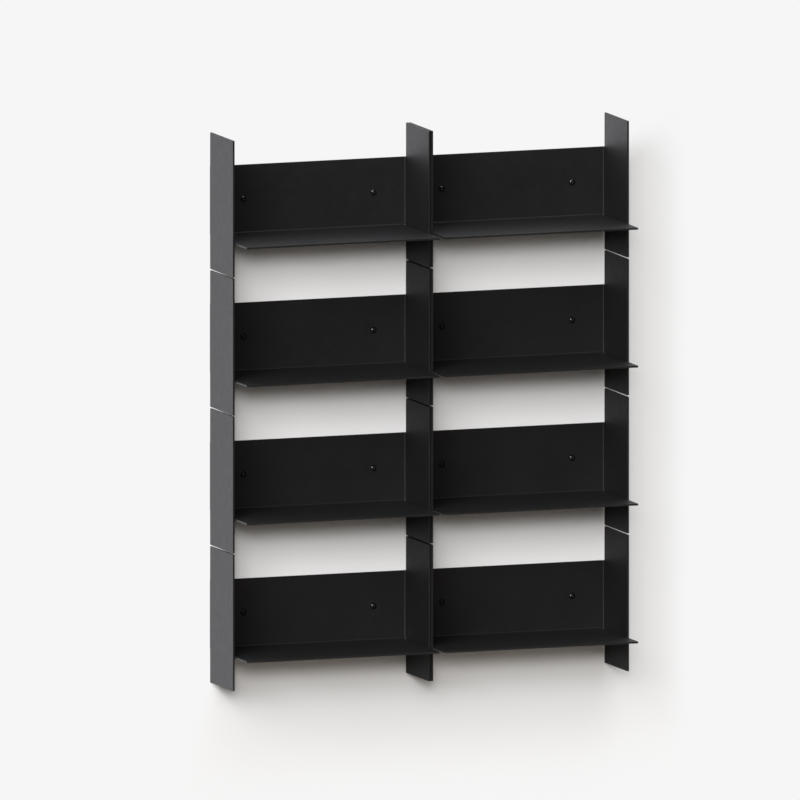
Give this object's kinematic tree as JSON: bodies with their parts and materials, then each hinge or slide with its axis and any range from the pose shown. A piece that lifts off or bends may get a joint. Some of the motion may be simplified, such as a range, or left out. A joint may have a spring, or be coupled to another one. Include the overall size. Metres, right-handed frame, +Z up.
{
  "type": "wall bookshelf",
  "caption": "Wall bookshelf of equal folded steel units: each has a back panel screwed to the wall, a shelf that reaches out past its side cheeks, and open space above.",
  "frame": {"origin": "centre of the grid of wall screws, on the wall's surface", "axes": "+Z up, +Y into the wall, along the screws; +X to the right for someone who faces the shelves"},
  "size_m": [0.902, 0.272, 1.189],
  "materials": {
    "powder_coat": "matt near-black powder coat on folded steel sheet, with a fine even texture",
    "screw_black": "glossy black dome head, with a black coated thread"
  },
  "bodies": {
    "root": {"unit_left_bottom": "powder_coat", "unit_left_lower": "powder_coat", "unit_left_upper": "powder_coat", "unit_left_top": "powder_coat", "unit_right_bottom": "powder_coat", "unit_right_lower": "powder_coat", "unit_right_upper": "powder_coat", "unit_right_top": "powder_coat", "screw_left_bottom_1": "screw_black", "screw_left_bottom_2": "screw_black", "screw_left_lower_1": "screw_black", "screw_left_lower_2": "screw_black", "screw_left_upper_1": "screw_black", "screw_left_upper_2": "screw_black", "screw_left_top_1": "screw_black", "screw_left_top_2": "screw_black", "screw_right_bottom_1": "screw_black", "screw_right_bottom_2": "screw_black", "screw_right_lower_1": "screw_black", "screw_right_lower_2": "screw_black", "screw_right_upper_1": "screw_black", "screw_right_upper_2": "screw_black", "screw_right_top_1": "screw_black", "screw_right_top_2": "screw_black"}
  },
  "joints": []
}
